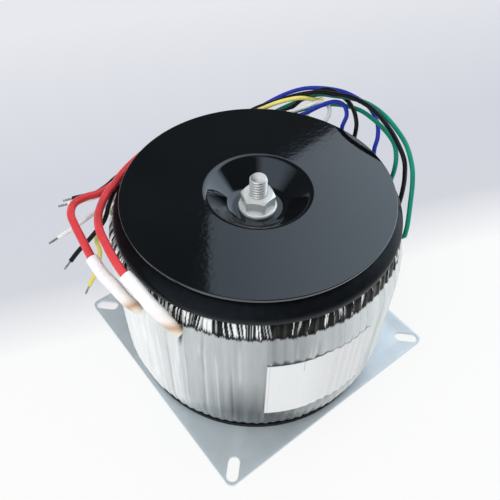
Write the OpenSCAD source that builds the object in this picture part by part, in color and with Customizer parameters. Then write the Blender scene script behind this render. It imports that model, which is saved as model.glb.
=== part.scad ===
// Toroidal power transformer on a square mounting plate.
// A wound ring core stands between two rubber pads. A dished steel disc and one central
// bolt clamp it to the plate, and its leads arch out from under the disc.
// The origin is the centre of the plate's underside, +Z runs up the bolt, and X and Y run
// along the plate's diagonals, towards its slots.

/* [Mounting plate] */
// Distance between the middles of opposite slots, along a diagonal of the plate
slot_span = 210; // [200:1:220]
// Distance from the middle of a slot to the plate's corner, before it is rounded
slot_inset = 11; // [10.5:0.5:14]
// Sheet thickness of the plate
plate_t = 2; // [1.5:0.5:2.5]
// Radius of the plate's corners
plate_corner_r = 4; // [1:0.5:6]
// Width of each slot
slot_w = 7; // [5:0.5:8]
// End-to-end length of each slot
slot_len = 15; // [10:0.5:16]
// Depth of the bolt head's face inside the pressed dimple that hides it
head_recess = 1.6; // [0.8:0.2:3]
// Room between the bolt head's corners and the edge of the dimple's flat top
dimple_room = 3.2; // [2.4:0.2:5]
// Width of the dimple's slope
dimple_flare = 7; // [5:0.5:8]

/* [Core] */
// Inner radius of the wound steel strip
core_inner_r = 47.5; // [46:0.5:49]
// Outer radius of the wound steel strip
core_outer_r = 70; // [68:0.5:70.5]
// Width of the steel strip, which is the core's height
core_h = 87; // [80:1:88]
// Thickness of the fibre rings on the core's two ends
end_ring_t = 1; // [0.5:0.25:1.5]
// Thickness of the tape over the core
core_tape_t = 1; // [0.5:0.25:1.25]

/* [Windings] */
// Build of the primary winding inside the core
primary_build_in = 9; // [7:0.5:9.5]
// Build of the primary winding outside the core
primary_build_out = 4.4; // [3:0.2:4.6]
// Build of the primary winding over the core's ends
primary_build_end = 5.4; // [4:0.2:6]
// Thickness of the tape between the windings
mid_tape_t = 0.8; // [0.4:0.2:1]
// Build of the secondary winding inside the core
secondary_build_in = 10.2; // [8:0.2:11]
// Build of the secondary winding outside the core
secondary_build_out = 4.5; // [3:0.1:6]
// Build of the secondary winding over the core's ends
secondary_build_end = 3.4; // [2:0.1:5]

/* [Film wrap] */
// Height over which the wall turns in at the foot
foot_h = 25; // [20:1:28]
// How far the film turns in at the foot
foot_in = 11; // [8:0.5:12]
// Height over which the wall turns in at the shoulder
shoulder_h = 32; // [28:1:36]
// How far the film turns in at the shoulder
shoulder_in = 30; // [26:1:32]
// Slope at both ends of the central hole, along the radius and the height
hole_slope = 8; // [6:0.5:9]
// Thickness of the film layers behind the pleats
film_t = 1; // [0.6:0.1:1.2]
// Number of pleats round the body
pleat_count = 96; // [60:1:110]
// Depth of a pleat, from the mean radius to its crest
pleat_depth = 0.8; // [0.3:0.1:0.9]

/* [Rating label] */
// Height of the blank label
label_h = 50; // [30:1:54]
// Angle that the label covers round the body
label_angle = 42; // [20:1:60]
// Height of the label's lower edge above the foot of the wall
label_lift = 3; // [1:1:6]
// Direction of the label's middle, from +X
label_middle = -59; // [-120:1:-20]
// Thickness of the label
label_t = 0.3; // [0.2:0.1:0.5]

/* [Rubber pads] */
// Thickness of both rubber pads
pad_t = 3; // [2:0.5:4]
// Radius of the pad under the body
bottom_pad_r = 78.5; // [74:0.5:81]
// Radius of the hole in the pad under the body
bottom_pad_hole_r = 26; // [22:0.5:30]
// Radius of the pad over the body
top_pad_r = 79.7; // [77:0.1:80]

/* [Pressure disc] */
// Radius of the dished disc
disc_r = 75; // [70:0.5:77]
// Sheet thickness of the disc
disc_t = 2; // [1.5:0.5:2.5]
// Rounding of the disc's outer edge
disc_edge_r = 0.5; // [0.2:0.1:0.7]
// How far the dish's lip stands outside the body's central hole
dish_overhang = 6.5; // [5:0.5:8]
// Depth of the dish
dish_depth = 12.8; // [10:0.2:14]
// Flat floor of the dish beyond the washer
dish_room = 2.8; // [2:0.2:4]
// Bend radius of the dish's lip
lip_bend_r = 4; // [3:0.5:5]
// Bend radius at the dish's floor
floor_bend_r = 6; // [4:0.5:7]

/* [Fasteners] */
// Thread diameter of the central bolt
bolt_d = 10; // [8:0.5:12]
// Play of the bolt in the plate and the disc, on the diameter
bolt_play = 1; // [0.4:0.2:1.6]
// Play of the bolt in the washer, on the diameter
washer_play = 0.5; // [0.2:0.1:1]
// Width across the flats of the nut and of the bolt head
hex_af = 17; // [15:0.5:18]
// Height of the nut
nut_h = 8; // [6:0.5:10]
// Height of the bolt head
bolt_head_h = 6.4; // [5:0.2:6.8]
// Bolt left standing above the nut
bolt_proud = 11.3; // [4:0.1:20]
// Turn of the nut about the bolt
nut_turn = 12; // [0:1:59]
// Outer diameter of the washer
washer_d = 21.5; // [20:0.5:24]
// Thickness of the washer
washer_t = 2; // [1:0.5:3]

/* [Leads] */
// Diameter of the two thick red leads
red_d = 4.4; // [4:0.1:4.6]
// Diameter of the thin leads
lead_d = 2.7; // [2.2:0.1:2.8]
// Outer diameter of the sleeves on the red leads
sleeve_d = 7; // [6:0.2:7.4]
// Number of route points that a sleeve covers
sleeve_points = 5; // [4:1:6]
// Diameter of a bare, tinned conductor end
tip_d = 1.4; // [1:0.1:1.8]
// Length of a bare, tinned conductor end
tip_len = 6; // [3:0.5:10]

/* [Hidden] */
$fn = 96;

// Gap between pieces that nest in one another
seat_gap = 0.3;
// Radial play between the bolt and the nut
thread_play = 0.05;

// Plate and bolt
slot_reach = slot_span / 2;
plate_w = sqrt(2) * (slot_reach + slot_inset);
hex_corner_r = hex_af / cos(30) / 2;
dimple_rise = bolt_head_h + head_recess;
dimple_top_r = hex_corner_r + dimple_room;
dimple_base_r = dimple_top_r + dimple_flare;
bolt_hole_r = (bolt_d + bolt_play) / 2;

// Film, secondary winding and the tape below it, with the gaps between them
film_stack = film_t + seat_gap;
mid_stack = 2 * seat_gap + mid_tape_t;
tape_stack = 2 * seat_gap + core_tape_t;

// The body that the core and its windings add up to
hole_r = core_inner_r - tape_stack - primary_build_in - mid_stack
    - secondary_build_in - film_stack;
body_r = core_outer_r + tape_stack + primary_build_out + mid_stack
    + secondary_build_out + film_stack + pleat_depth;
body_h = core_h + 2 * (end_ring_t + tape_stack + primary_build_end + mid_stack
    + secondary_build_end + film_stack);

// Heights of the stack, from the plate's underside
body_z = plate_t + pad_t;
body_top_z = body_z + body_h;
top_pad_z = body_top_z + seat_gap;
disc_z = top_pad_z + pad_t;
dish_floor_z = disc_z + disc_t - dish_depth;
nut_z = dish_floor_z + washer_t;
bolt_top_z = nut_z + nut_h + bolt_proud;
core_z = body_z + (body_h - core_h) / 2;
label_z = body_z + foot_h + label_lift;

// Radii of the dish at its lip and at its floor
dish_r = hole_r + dish_overhang;
dish_floor_r = washer_d / 2 + dish_room;

// ---------- helpers ----------

function unit(v) = v / norm(v);

// Points on an arc about c, from angle a to angle b
function arc(c, r, a, b, steps = 6) =
    [for (k = [0:steps]) let (t = a + (b - a) * k / steps) c + r * [cos(t), sin(t)]];

// Section of a ring with rounded corners, as [radius, height] points
function ring_section(r0, r1, z0, z1, corner_in, corner_out) = concat(
    arc([r0 + corner_in, z0 + corner_in], corner_in, 180, 270),
    arc([r1 - corner_out, z0 + corner_out], corner_out, 270, 360),
    arc([r1 - corner_out, z1 - corner_out], corner_out, 0, 90),
    arc([r0 + corner_in, z1 - corner_in], corner_in, 90, 180)
);

// One point of a Catmull-Rom curve between b and c
function blend(a, b, c, d, t) =
    0.5 * (2 * b + (c - a) * t + (2 * a - 5 * b + 4 * c - d) * t * t
        + (3 * b - a - 3 * c + d) * t * t * t);

// A smooth line through the route's points, with two steps for each of them
function smooth(p) = let (n = len(p) - 1) concat(
    [for (i = [0:n - 1]) for (t = [0, 0.5]) blend(
        i == 0 ? 2 * p[0] - p[1] : p[i - 1], p[i], p[i + 1],
        i == n - 1 ? 2 * p[n] - p[n - 1] : p[i + 2], t)],
    [p[n]]
);

// Direction of the line at each of its points
function headings(p) = let (n = len(p) - 1)
    [for (i = [0:n]) unit(p[min(i + 1, n)] - p[max(i - 1, 0)])];

// Carries the normal m along the headings without twist
function carry(h, m, i = 0) = i == len(h) ? [] :
    let (next = unit(m - (m * h[i]) * h[i])) concat([next], carry(h, next, i + 1));

// A closed tube along the route, as one polyhedron
module tube(route, d, sides = 8) {
    line = smooth(route);
    h = headings(line);
    m = carry(h, [0.3, 0.2, 0.93]);
    last = len(line) - 1;
    points = [for (i = [0:last]) for (k = [0:sides - 1])
        line[i] + d / 2 * (cos(360 * k / sides) * m[i]
            + sin(360 * k / sides) * cross(h[i], m[i]))];
    sides_faces = [for (i = [0:last - 1]) for (k = [0:sides - 1])
        let (a = i * sides + k, b = i * sides + (k + 1) % sides)
        each [[a, a + sides, b], [b, a + sides, b + sides]]];
    polyhedron(points, concat(
        [[for (k = [0:sides - 1]) k]],
        sides_faces,
        [[for (k = [sides - 1:-1:0]) last * sides + k]]
    ));
}

// A bare conductor end that stands on the far end of the route
module tip(route) {
    line = smooth(route);
    last = len(line) - 1;
    v = unit(line[last] - line[last - 1]);
    color("silver") translate(line[last])
        rotate([0, acos(v.z), atan2(v.y, v.x)])
            cylinder(d = tip_d, h = tip_len, $fn = 24);
}

// ---------- sections that several pieces share ----------

// Points of the film's foot and shoulder, each as shares of how far it turns in, of its
// height and of the pleat depth
foot_curve = [[1, 0, 0], [0.6, 0.06, 0.4], [0.27, 0.32, 0.8], [0, 1, 1]];
shoulder_curve = [
    [0, 1, 1], [0.05, 0.75, 1], [0.087, 0.594, 1], [0.12, 0.328, 1],
    [0.167, 0.234, 0.3], [0.333, 0.131, 0.1], [0.667, 0.028, 0], [1, 0, 0]
];

// The film's outline as [radius, height, share of the pleat depth]
film_profile = concat(
    [[hole_r, body_z + hole_slope, 0], [hole_r + hole_slope, body_z, 0]],
    [for (p = foot_curve) [body_r - p[0] * foot_in, body_z + p[1] * foot_h, p[2]]],
    [for (p = shoulder_curve)
        [body_r - p[0] * shoulder_in, body_top_z - p[1] * shoulder_h, p[2]]],
    [[hole_r + hole_slope, body_top_z, 0], [hole_r, body_top_z - hole_slope, 0]]
);

// The film's section at a crest (side 1) or in a valley (side -1)
module film_section(side) {
    polygon([for (p = film_profile) [p[0] + side * p[2] * pleat_depth, p[1]]]);
}

// Nested rings of the windings, each as [inner radius, outer radius, bottom, top]
function grown(s, d) = [s[0] - d, s[1] + d, s[2] - d, s[3] + d];

core_ring = [core_inner_r, core_outer_r, core_z, core_z + core_h];
core_tape_in = grown(core_ring, seat_gap) + [0, 0, -end_ring_t, end_ring_t];
core_tape_out = grown(core_tape_in, core_tape_t);
primary_in = grown(core_tape_out, seat_gap);
primary_out = primary_in
    + [-primary_build_in, primary_build_out, -primary_build_end, primary_build_end];
mid_tape_in = grown(primary_out, seat_gap);
mid_tape_out = grown(mid_tape_in, mid_tape_t);
secondary_in = grown(mid_tape_out, seat_gap);

// Corner radii of the core tape and of the windings' inner and outer corners
tape_corner = 2;
coil_corner_in = 8;
coil_corner_out = 14;

module ring_2d(s, corner_in, corner_out) {
    polygon(ring_section(s[0], s[1], s[2], s[3], corner_in, corner_out));
}

// A coil's section, grown by the same amount as its ring
module coil_2d(s, growth = 0) {
    ring_2d(s, coil_corner_in + growth, coil_corner_out + growth);
}

// ---------- plate, pads, disc and fasteners ----------

module rounded_square(w, r) {
    square([w, w - 2 * r], center = true);
    square([w - 2 * r, w], center = true);
    for (x = [-1, 1], y = [-1, 1])
        translate([x, y] * (w / 2 - r)) circle(r = r, $fn = 48);
}

module slot() {
    run = slot_len - slot_w;
    square([run, slot_w], center = true);
    for (side = [-1, 1]) translate([side * run / 2, 0]) circle(d = slot_w, $fn = 48);
}

module base_plate() {
    wall = plate_t * tan(atan(dimple_rise / dimple_flare) / 2);
    color("lightsteelblue") union() {
        linear_extrude(plate_t) difference() {
            rotate(45) rounded_square(plate_w, plate_corner_r);
            circle(r = dimple_base_r);
            for (a = [0:90:270]) rotate(a) translate([slot_reach, 0]) slot();
        }
        rotate_extrude() polygon([
            [dimple_base_r, 0],
            [dimple_base_r, plate_t],
            [dimple_top_r, plate_t + dimple_rise],
            [bolt_hole_r, plate_t + dimple_rise],
            [bolt_hole_r, dimple_rise],
            [dimple_top_r - wall, dimple_rise],
            [dimple_base_r - wall, 0]
        ]);
    }
}

module bottom_pad() {
    color("dimgray") translate([0, 0, plate_t]) difference() {
        cylinder(r = bottom_pad_r, h = pad_t);
        translate([0, 0, -1]) cylinder(r = bottom_pad_hole_r, h = pad_t + 2);
    }
}

// The rubber drapes over the body's shoulder and ends in a lip beyond the disc
module top_pad() {
    inner = dish_r + dish_room / 2;
    drape = shoulder_h / 2;
    color("dimgray") rotate_extrude() intersection() {
        difference() {
            offset(delta = seat_gap + pad_t) film_section(1);
            offset(delta = seat_gap) film_section(1);
        }
        translate([inner, body_top_z - drape])
            square([top_pad_r - inner, drape + seat_gap + pad_t]);
    }
}

// Slope of the line that touches the bends at the dish's lip and at its floor
dish_bends = [dish_r - dish_floor_r, dish_depth - lip_bend_r - floor_bend_r];
dish_slope = atan2(dish_bends.y, dish_bends.x)
    + asin((lip_bend_r + floor_bend_r) / norm(dish_bends));

// One face of the disc's sheet, from its lip to the bolt hole. depth is 0 for the upper
// face and disc_t for the lower one.
function disc_face(depth) = concat(
    arc([dish_r, disc_z + disc_t - lip_bend_r], lip_bend_r - depth, 90, 90 + dish_slope),
    arc([dish_floor_r, dish_floor_z + floor_bend_r], floor_bend_r + depth,
        270 + dish_slope, 270),
    [[bolt_hole_r, dish_floor_z - depth]]
);

module pressure_disc() {
    upper = disc_face(0);
    lower = disc_face(disc_t);
    top = disc_z + disc_t;
    edge = disc_r - disc_edge_r;
    color("black") rotate_extrude() polygon(concat(
        arc([edge, disc_z + disc_edge_r], disc_edge_r, 270, 360, 3),
        arc([edge, top - disc_edge_r], disc_edge_r, 0, 90, 3),
        upper,
        [for (k = [len(lower) - 1:-1:0]) lower[k]]
    ));
}

module hexagon(af, h) {
    cylinder(d = af / cos(30), h = h, $fn = 6);
}

// A hexagon whose upper corners are turned down, and its lower ones too if both is true
module chamfered_hexagon(h, both) {
    cut = (hex_corner_r - hex_af / 2) * 0.6;
    intersection() {
        hexagon(hex_af, h);
        rotate_extrude() polygon([
            [0, 0],
            [both ? hex_af / 2 : hex_corner_r, 0],
            [hex_corner_r, both ? cut : 0],
            [hex_corner_r, h - cut],
            [hex_af / 2, h],
            [0, h]
        ]);
    }
}

module centre_bolt() {
    shank_z = dimple_rise;
    tip_cut = 1;
    r = bolt_d / 2 - thread_play;
    color("silver") union() {
        translate([0, 0, shank_z]) mirror([0, 0, 1])
            chamfered_hexagon(bolt_head_h, false);
        translate([0, 0, shank_z]) cylinder(r = r, h = bolt_top_z - tip_cut - shank_z);
        translate([0, 0, bolt_top_z - tip_cut])
            cylinder(r1 = r, r2 = r - tip_cut, h = tip_cut);
    }
}

module flat_washer() {
    color("gainsboro") translate([0, 0, dish_floor_z]) difference() {
        cylinder(d = washer_d, h = washer_t);
        translate([0, 0, -1]) cylinder(d = bolt_d + washer_play, h = washer_t + 2);
    }
}

module hex_nut() {
    color("silver") translate([0, 0, nut_z]) rotate(nut_turn) difference() {
        chamfered_hexagon(nut_h, true);
        translate([0, 0, -1]) cylinder(d = bolt_d, h = nut_h + 2);
    }
}

// ---------- core and windings ----------

module core() {
    color("slategray") translate([0, 0, core_z]) difference() {
        cylinder(r = core_outer_r, h = core_h);
        translate([0, 0, -1]) cylinder(r = core_inner_r, h = core_h + 2);
    }
}

module core_end_ring(z) {
    color("tan") translate([0, 0, z]) difference() {
        cylinder(r = core_outer_r, h = end_ring_t);
        translate([0, 0, -1]) cylinder(r = core_inner_r, h = end_ring_t + 2);
    }
}

module core_ring_lower() {
    core_end_ring(core_z - end_ring_t);
}

module core_ring_upper() {
    core_end_ring(core_z + core_h);
}

module core_tape() {
    color("khaki") rotate_extrude() difference() {
        ring_2d(core_tape_out, tape_corner, tape_corner);
        ring_2d(core_tape_in, tape_corner / 4, tape_corner / 4);
    }
}

module primary_winding() {
    color("peru") rotate_extrude() difference() {
        coil_2d(primary_out);
        ring_2d(primary_in, tape_corner + seat_gap, tape_corner + seat_gap);
    }
}

module interwinding_tape() {
    color("gold") rotate_extrude() difference() {
        coil_2d(mid_tape_out, seat_gap + mid_tape_t);
        coil_2d(mid_tape_in, seat_gap);
    }
}

module secondary_winding() {
    color("chocolate") rotate_extrude() difference() {
        offset(delta = -film_stack) film_section(-1);
        coil_2d(secondary_in, 2 * seat_gap + mid_tape_t);
    }
}

// ---------- pleated film and its label ----------

// How far column j of the film stands out, from -1 in a valley to 1 on a crest
function pleat(j) = (j % 2 == 0 ? 1 : -1) * (0.7 + 0.3 * sin(137 * j));

module outer_wrap() {
    columns = 2 * pleat_count;
    rings = len(film_profile);
    points = [for (p = film_profile) for (j = [0:columns - 1])
        let (a = 360 * j / columns, r = p[0] + p[2] * pleat_depth * pleat(j))
        [r * cos(a), r * sin(a), p[1]]];
    faces = [for (i = [0:rings - 1]) for (j = [0:columns - 1])
        let (
            a = i * columns + j,
            b = i * columns + (j + 1) % columns,
            c = ((i + 1) % rings) * columns + j,
            d = ((i + 1) % rings) * columns + (j + 1) % columns
        )
        each [[a, c, b], [b, c, d]]];
    color("lightgray") difference() {
        polyhedron(points, faces);
        rotate_extrude() offset(delta = -film_t) film_section(-1);
    }
}

module rating_label() {
    color("white") rotate(label_middle - label_angle / 2)
        rotate_extrude(angle = label_angle)
            translate([body_r + pleat_depth + seat_gap, label_z])
                square([label_t, label_h]);
}

// ---------- leads ----------

// Routes of the leads in millimetres, from the body to the far end
red_1_route = [
    [-52.5, -68, 98.5], [-59, -65.5, 102.5], [-66, -61, 107], [-73, -56, 109.5],
    [-80, -49, 112], [-88, -39, 115], [-94, -31, 116], [-99, -23, 116], [-101, -13, 114],
    [-98, -4, 111], [-92, 4, 108], [-87, 15, 106], [-82, 28, 105], [-75, 43, 104],
    [-66, 57, 104], [-57, 67, 104]
];
red_2_route = [
    [-30, -80, 101], [-37, -77, 107.5], [-44, -73.5, 112.5], [-51, -68, 116],
    [-58, -63, 119], [-65, -56, 122], [-71, -48, 123], [-77, -39, 123], [-82, -27, 120],
    [-84, -16, 118], [-84, -6, 117], [-83, 4, 115], [-82, 16, 113], [-78, 30, 112],
    [-70, 46, 112], [-60, 59, 111], [-49, 69, 111], [-38, 76, 110]
];
blue_1_route = [
    [47, 69, 101], [46.5, 70.5, 107], [45, 73, 117], [47, 77, 124], [44.5, 82, 128],
    [38, 84.5, 128], [30, 84.5, 124], [21, 84, 118], [11, 85, 112], [2, 86, 106]
];
blue_2_route = [
    [66.5, 50.5, 101], [66, 52, 107], [65, 55, 116], [66, 59, 123], [65, 66.5, 128],
    [60, 77, 131], [52, 88, 130], [43, 97, 128], [31, 102, 126], [19, 103, 124],
    [8, 102, 120], [-3, 100, 114], [-14, 97, 107]
];
black_1_route = [
    [51, 66, 101], [52, 66.5, 107], [53, 66, 117], [53, 69.5, 124.5], [50, 77, 129.5],
    [44.5, 86, 130.5], [35, 93, 131], [25, 93.5, 128], [18, 92.5, 122.5], [12, 91, 117],
    [4, 92, 112], [-6, 95, 107], [-18, 96, 102], [-31, 92, 99], [-45, 85, 97],
    [-60, 75, 96], [-73, 62, 96], [-84, 47, 96], [-91, 32, 97], [-96, 21, 97],
    [-101, 14, 97], [-107, 11, 97], [-113, 9, 96]
];
black_2_route = [
    [80.5, 22, 101], [81, 23, 107], [81.5, 26, 112.5], [81, 27.5, 120], [79, 30.5, 129.5],
    [74.5, 40, 134.5], [69, 50, 137.5], [60, 61.5, 140.5], [49, 72, 140], [39, 81.5, 135.5],
    [27, 89, 131], [15, 92, 126], [3, 93.5, 119.5], [-10, 94, 113], [-22, 91, 107],
    [-35, 86, 103], [-48, 78, 101], [-60, 68, 100], [-71, 56, 100], [-80, 42, 100],
    [-85, 27, 100], [-88, 13, 100], [-88, 2, 100], [-88, -8, 98], [-94, -16, 92],
    [-101, -23, 86], [-105, -28, 82]
];
green_1_route = [
    [75, 37, 101], [75.5, 37, 107], [76, 36, 117], [76, 40, 124], [74, 46, 129],
    [69, 55.5, 130.5], [62, 66, 130.5], [54.5, 77, 128.5], [45, 85, 125.5], [35, 91.5, 121],
    [24, 94.5, 115.5], [12, 95, 110], [1, 95, 104], [-9, 94, 98]
];
green_2_route = [
    [83.5, -0.5, 101], [84, 3, 107], [84, 11, 117], [84, 18.5, 124], [83, 26.5, 129.5],
    [79.5, 38, 134.5], [73, 50, 137.5], [66, 60, 139], [58, 69.5, 138.5], [49, 77.5, 136],
    [38.5, 86.5, 131], [28, 95.5, 125], [17, 99.5, 117], [6, 100.5, 109.5], [-5, 99, 103],
    [-15, 97, 97]
];
white_1_route = [
    [27.5, 78.5, 103], [29, 79, 109], [33, 79.5, 114], [36.5, 83, 119.5], [35, 87, 123.5],
    [29, 88, 124.5], [21, 85.5, 122], [11, 85.5, 117], [-2, 86.5, 111], [-14, 88, 105],
    [-27, 86.5, 99.5], [-41, 80, 96], [-56, 71, 95], [-70, 59, 95], [-81, 43, 95],
    [-88, 27, 96], [-93, 15, 98], [-98, 9, 99], [-105, 5, 99], [-113, 2, 98]
];
white_2_route = [
    [-4.5, 83, 102], [-8, 86, 103], [-15, 91, 100.5], [-25, 89, 94.5], [-37, 83, 91],
    [-50.5, 74.5, 89.5], [-63.5, 64, 89.5], [-74.5, 50.5, 90], [-82, 34.5, 91.5],
    [-87, 20, 93], [-91, 9, 95], [-98, -4, 96], [-105, -12, 94], [-113, -20, 92]
];
yellow_route = [
    [15, 80.5, 107], [20, 91, 107], [24, 100, 109], [29, 103, 114.5], [31, 99.5, 119.5],
    [27.5, 92.5, 123], [17, 86.5, 127.5], [5, 84.5, 125], [-6, 83, 120], [-16, 84, 113],
    [-27, 81.5, 106], [-38, 77.5, 99.5], [-49, 71.5, 93.5], [-60, 63, 88.5],
    [-71, 51.5, 87.5], [-79, 39, 86], [-86, 24, 87], [-92, 8, 88], [-95, -4, 87],
    [-93, -14, 86], [-89, -22, 84], [-90, -29, 78], [-94, -35, 70]
];

// A lead without a sleeve
module lead(route, d, c) {
    color(c) tube(route, d);
}

function first(route, n) = [for (i = [0:n - 1]) route[i]];

// The sleeve over the first part of a red lead. It has a thread's clearance on the lead.
module sleeve(route) {
    bore = red_d + 0.4;
    start = first(route, sleeve_points);
    color("ivory") hollow_tube(start, bore, sleeve_d);
}

// A closed pipe along the route, as one polyhedron
module hollow_tube(route, d_in, d_out, sides = 12) {
    line = smooth(route);
    h = headings(line);
    m = carry(h, [0.3, 0.2, 0.93]);
    last = len(line) - 1;
    ring = [for (r = [d_out, d_in] / 2) for (i = [0:last]) for (k = [0:sides - 1])
        line[i] + r * (cos(360 * k / sides) * m[i]
            + sin(360 * k / sides) * cross(h[i], m[i]))];
    inner = (last + 1) * sides;
    skins = [for (i = [0:last - 1]) for (k = [0:sides - 1])
        let (a = i * sides + k, b = i * sides + (k + 1) % sides)
        each [[a, a + sides, b], [b, a + sides, b + sides],
            [inner + a, inner + b, inner + a + sides],
            [inner + b, inner + b + sides, inner + a + sides]]];
    ends = [for (k = [0:sides - 1])
        let (n = (k + 1) % sides, t = last * sides)
        each [[k, n, inner + k], [n, inner + n, inner + k],
            [t + k, inner + t + k, t + n], [t + n, inner + t + k, inner + t + n]]];
    polyhedron(ring, concat(skins, ends));
}

module red_lead_1() { lead(red_1_route, red_d, "red"); }
module red_lead_1_sleeve() { sleeve(red_1_route); }
module red_lead_1_tip() { tip(red_1_route); }
module red_lead_2() { lead(red_2_route, red_d, "red"); }
module red_lead_2_sleeve() { sleeve(red_2_route); }
module red_lead_2_tip() { tip(red_2_route); }
module blue_lead_1() { lead(blue_1_route, lead_d, "navy"); }
module blue_lead_1_tip() { tip(blue_1_route); }
module blue_lead_2() { lead(blue_2_route, lead_d, "navy"); }
module blue_lead_2_tip() { tip(blue_2_route); }
module black_lead_1() { lead(black_1_route, lead_d, "black"); }
module black_lead_1_tip() { tip(black_1_route); }
module black_lead_2() { lead(black_2_route, lead_d, "black"); }
module black_lead_2_tip() { tip(black_2_route); }
module green_lead_1() { lead(green_1_route, lead_d, "seagreen"); }
module green_lead_1_tip() { tip(green_1_route); }
module green_lead_2() { lead(green_2_route, lead_d, "seagreen"); }
module green_lead_2_tip() { tip(green_2_route); }
module white_lead_1() { lead(white_1_route, lead_d, "white"); }
module white_lead_1_tip() { tip(white_1_route); }
module white_lead_2() { lead(white_2_route, lead_d, "white"); }
module white_lead_2_tip() { tip(white_2_route); }
module yellow_lead() { lead(yellow_route, lead_d, "khaki"); }
module yellow_lead_tip() { tip(yellow_route); }

// ---------- nodes ----------

base_plate();
bottom_pad();
core();
core_ring_lower();
core_ring_upper();
core_tape();
primary_winding();
interwinding_tape();
secondary_winding();
outer_wrap();
rating_label();
top_pad();
pressure_disc();
centre_bolt();
flat_washer();
hex_nut();
red_lead_1();
red_lead_1_sleeve();
red_lead_1_tip();
red_lead_2();
red_lead_2_sleeve();
red_lead_2_tip();
blue_lead_1();
blue_lead_1_tip();
blue_lead_2();
blue_lead_2_tip();
black_lead_1();
black_lead_1_tip();
black_lead_2();
black_lead_2_tip();
green_lead_1();
green_lead_1_tip();
green_lead_2();
green_lead_2_tip();
white_lead_1();
white_lead_1_tip();
white_lead_2();
white_lead_2_tip();
yellow_lead();
yellow_lead_tip();
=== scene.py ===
"""Looks of the toroidal transformer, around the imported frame.

Lengths are in metres, in the frame of the part: its base is at z = 0, and the bolt stands
on the z axis. Directions around the bolt are in degrees from +X towards +Y.
"""

import math

import bpy
import numpy as np
from mathutils import Matrix, Vector


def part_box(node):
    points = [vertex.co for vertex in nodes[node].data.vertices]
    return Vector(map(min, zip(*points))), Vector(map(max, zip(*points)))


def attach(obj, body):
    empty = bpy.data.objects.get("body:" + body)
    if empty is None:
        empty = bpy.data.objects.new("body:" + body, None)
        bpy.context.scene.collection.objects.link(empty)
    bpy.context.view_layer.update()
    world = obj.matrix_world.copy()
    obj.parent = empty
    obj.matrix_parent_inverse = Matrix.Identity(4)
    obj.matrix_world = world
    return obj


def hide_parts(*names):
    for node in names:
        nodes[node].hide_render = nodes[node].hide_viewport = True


MM = 0.001
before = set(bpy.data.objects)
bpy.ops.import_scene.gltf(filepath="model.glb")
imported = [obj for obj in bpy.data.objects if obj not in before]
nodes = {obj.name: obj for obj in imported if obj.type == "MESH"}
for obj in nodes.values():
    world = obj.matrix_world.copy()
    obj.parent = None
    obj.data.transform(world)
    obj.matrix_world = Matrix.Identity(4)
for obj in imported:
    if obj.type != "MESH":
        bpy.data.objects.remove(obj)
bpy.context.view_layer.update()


def link(made):
    """Puts an object in the scene."""
    bpy.context.scene.collection.objects.link(made)


def dress(piece, material):
    """Gives a piece that comes from the frame its one material."""
    piece.data.materials.clear()
    piece.data.materials.append(material)


# ---------- camera ----------

CAMERA_AT = Vector((21.13, -235.27, 340.83)) * MM
CAMERA_AZIMUTH = 6.062
CAMERA_ELEVATION = 48.268
CAMERA_ROLL = 1.149
LENS_MM = 42.255
SENSOR_MM = 36
NEAREST = 10 * MM


def add_camera():
    """The camera of the photo."""
    azimuth, elevation = math.radians(CAMERA_AZIMUTH), math.radians(CAMERA_ELEVATION)
    roll = math.radians(CAMERA_ROLL)
    back = Vector((
        math.sin(azimuth) * math.cos(elevation),
        -math.cos(azimuth) * math.cos(elevation),
        math.sin(elevation),
    ))
    level = Vector((0, 0, 1)).cross(back).normalized()
    up = back.cross(level)
    right = level * math.cos(roll) + up * math.sin(roll)
    up = up * math.cos(roll) - level * math.sin(roll)
    data = bpy.data.cameras.new("camera")
    data.lens = LENS_MM
    data.sensor_width = SENSOR_MM
    data.clip_start = NEAREST
    camera = bpy.data.objects.new("camera", data)
    camera.matrix_world = Matrix((right, up, back)).transposed().to_4x4()
    camera.matrix_world.translation = CAMERA_AT
    link(camera)
    bpy.context.scene.camera = camera


add_camera()

# ---------- materials: how they are written ----------


def add_node(tree, kind, inputs=(), **settings):
    """A shader node. Each of its inputs is given as a value or as a socket to link."""
    made = tree.nodes.new("ShaderNode" + kind)
    for setting, value in settings.items():
        setattr(made, setting, value)
    for socket, value in dict(inputs).items():
        if isinstance(value, bpy.types.NodeSocket):
            tree.links.new(value, made.inputs[socket])
        else:
            made.inputs[socket].default_value = value
    return made


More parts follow.
